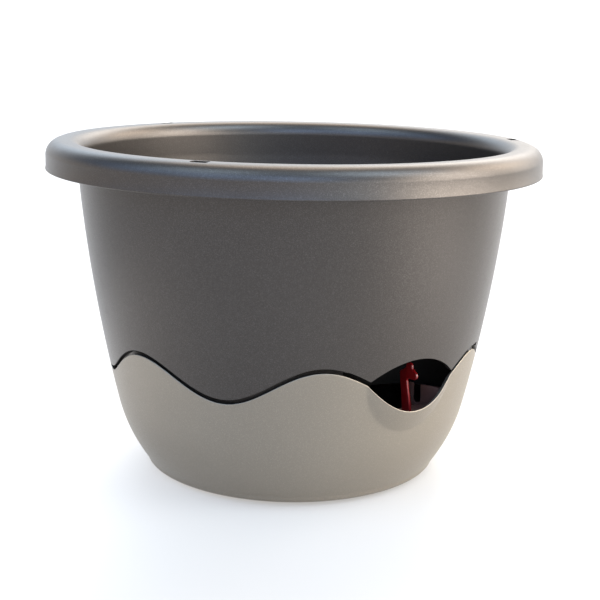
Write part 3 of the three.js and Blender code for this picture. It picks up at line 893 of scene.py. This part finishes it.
shelf = combined("shelf", guide_shelf(), [("DIFFERENCE", shelf_slot())])
guide_parts = [side_plate(-1), side_plate(1), *snap_hook(-1), *snap_hook(1)]
guide = combined("guide", shelf, [("UNION", mesh) for mesh in guide_parts])
piece("guide", guide, guide_finish, "pot", "indicator_guide")

soft = 0.4
pin_foot = arc(PIN["radius"] - soft, PIN["foot"] + soft, soft, soft, 270, 360, 4)
pin = spindle("pin", [(0, PIN["foot"]), *pin_foot, (PIN["radius"], PIN["boss_top"] - 1), (0, PIN["boss_top"] - 1)], 32)
boss_top = arc(PIN["boss"] - soft, PIN["boss_top"] - soft, soft, soft, 0, 90, 4)
boss = spindle("boss", [(0, ARM["low"]), (PIN["boss"], ARM["low"]), *boss_top, (0, PIN["boss_top"])], 48)
stem = combined("stem", lever(), [("UNION", boss), ("UNION", pin)])
piece("red_stem", stem, red_finish, "indicator", "indicator_stem")
foam = ring("float", FLOAT["radius"], FLOAT["bore"], FLOAT["bottom"], FLOAT["top"], 1.0, 96)
piece("foam_float", foam, foam_finish, "indicator", "indicator_float")
clip = ring("clip", CLIP["radius"], CLIP["bore"], CLIP["bottom"], CLIP["top"], 0.3, 64)
piece("pin_clip", clip, clip_finish, "indicator", "float_clip")

for index, azimuth in enumerate(WICKS["azimuths"], start=1):
    mesh = wick_mesh(azimuth, index)
    strip = piece(f"wick_strip_{index}", mesh, wick_finish, "pot", f"wick_{index}", 60.0)


# ---- Floor, light and camera ----


# Where the pale floor glows most beside the planter: x, y and reach in metres, and strength.
FLOOR_GLOW = [(0.52, -0.16, 0.4, 1.5), (-0.32, -0.02, 0.34, 0.75)]


def floor_material():
    net = Nodes("floor")
    colour = net.blend(net.ramp(net.noise(3.0, 3.0), 0.3, 0.7), (0.25, 0.25, 0.25, 1), (0.27, 0.27, 0.27, 1))
    glow = 0.4
    for x, y, reach, strength in FLOOR_GLOW:
        fade = {"Value": net.distance(net.coordinates, (x, y, 0)), "From Min": reach, "From Max": 0.0}
        near = net.add("MapRange", fade, interpolation_type="SMOOTHSTEP").outputs[0]
        glow = net.math("ADD", net.math("MULTIPLY", near, strength), glow)
    net.shade(Base_Color=colour, Roughness=0.6, Emission_Color=(1, 0.97, 0.93, 1), Emission_Strength=glow)
    return net.material


floor_half = 6000
floor_corners = [(x * floor_half, y * floor_half, 0) for x, y in ((-1, -1), (1, -1), (1, 1), (-1, 1))]
floor = finish_mesh("floor", mesh_of("floor", floor_corners, [(0, 1, 2, 3)]), floor_material())


WARM = (1.0, 0.85, 0.7)
SOFT = (1.0, 0.94, 0.86)
COOL = (0.6, 0.8, 1.0)
BLUE = (0.42, 0.62, 1.0)
# The studio's soft lamps, as azimuth, elevation, colour and strength: warm from the right and the back, cool from
# the front and the left.
LAMPS = [
    (0, 32, BLUE, 5.0),
    (320, 32, BLUE, 4.0),
    (280, 32, BLUE, 2.5),
    (250, 32, BLUE, 0.5),
    (300, 60, COOL, 5.0),
    (60, 60, COOL, 8.0),
    (30, 8, COOL, 2.5),
    (60, 8, SOFT, 8.0),
    (85, 8, SOFT, 7.0),
    (80, 32, SOFT, 12.0),
    (120, 8, SOFT, 3.0),
    (120, 32, WARM, 8.5),
    (180, 60, WARM, 6.0),
    (160, 32, SOFT, 6.0),
    (200, 32, COOL, 2.5),
]
LAMP_FALLOFF = 25
FRONT_LIGHT = (1.25, 1.13, 1.0)
BACK_LIGHT = (1.12, 1.14, 1.18)


def studio_world():
    """Soft lamps far away, over a low warm front and a white back."""
    world = bpy.data.worlds.new("studio")
    world.use_nodes = True
    tree = world.node_tree
    direction = tree.nodes.new("ShaderNodeTexCoord").outputs["Generated"]
    split = tree.nodes.new("ShaderNodeSeparateXYZ")
    tree.links.new(direction, split.inputs[0])

    def add(kind, operation, *values):
        node = tree.nodes.new("ShaderNode" + kind)
        node.operation = operation
        for socket, value in zip(node.inputs, values):
            if isinstance(value, bpy.types.NodeSocket):
                tree.links.new(value, socket)
            else:
                socket.default_value = value
        return node.outputs["Value"] if kind == "Math" or operation == "DOT_PRODUCT" else node.outputs["Vector"]

    def share(axis, low, high):
        node = tree.nodes.new("ShaderNodeMapRange")
        node.interpolation_type = "SMOOTHSTEP"
        tree.links.new(split.outputs[axis], node.inputs["Value"])
        node.inputs["From Min"].default_value = low
        node.inputs["From Max"].default_value = high
        return node.outputs[0]

    def scaled(light, amount):
        node = tree.nodes.new("ShaderNodeVectorMath")
        node.operation = "SCALE"
        node.inputs[0].default_value = light
        tree.links.new(amount, node.inputs["Scale"])
        return node.outputs["Vector"]

    behind = share("Y", 0.3, 0.9)
    in_front = add("Math", "SUBTRACT", 1.0, behind)
    front_low = add("Math", "MULTIPLY", add("Math", "SUBTRACT", 1.0, share("Z", 0.05, 0.5)), in_front)
    colour = add("VectorMath", "ADD", scaled(FRONT_LIGHT, front_low), scaled(BACK_LIGHT, behind))
    for azimuth, elevation, tint, strength in LAMPS:
        turn = math.radians(elevation)
        x, y = on_azimuth(azimuth, math.cos(turn))
        near = add("Math", "MAXIMUM", add("VectorMath", "DOT_PRODUCT", direction, (x, y, math.sin(turn))), 0.0)
        glow = add("Math", "POWER", near, LAMP_FALLOFF)
        colour = add("VectorMath", "ADD", colour, scaled([c * strength for c in tint], glow))
    tree.links.new(colour, tree.nodes["Background"].inputs["Color"])
    bpy.context.scene.world = world


studio_world()
bpy.context.scene.view_settings.view_transform = "Standard"

# The camera's place in metres and its turns about X, Y and Z in degrees.
CAMERA_AT = (0.0, -0.750, 0.2716)
CAMERA_TURNS = (77.265, -0.991, -0.147)
CAMERA_LENS = 73.17

camera_data = bpy.data.cameras.new("camera")
camera_data.lens = CAMERA_LENS
camera_data.sensor_width = 36.0
camera = bpy.data.objects.new("camera", camera_data)
camera.location = CAMERA_AT
camera.rotation_euler = [math.radians(turn) for turn in CAMERA_TURNS]
bpy.context.scene.collection.objects.link(camera)
bpy.context.scene.camera = camera
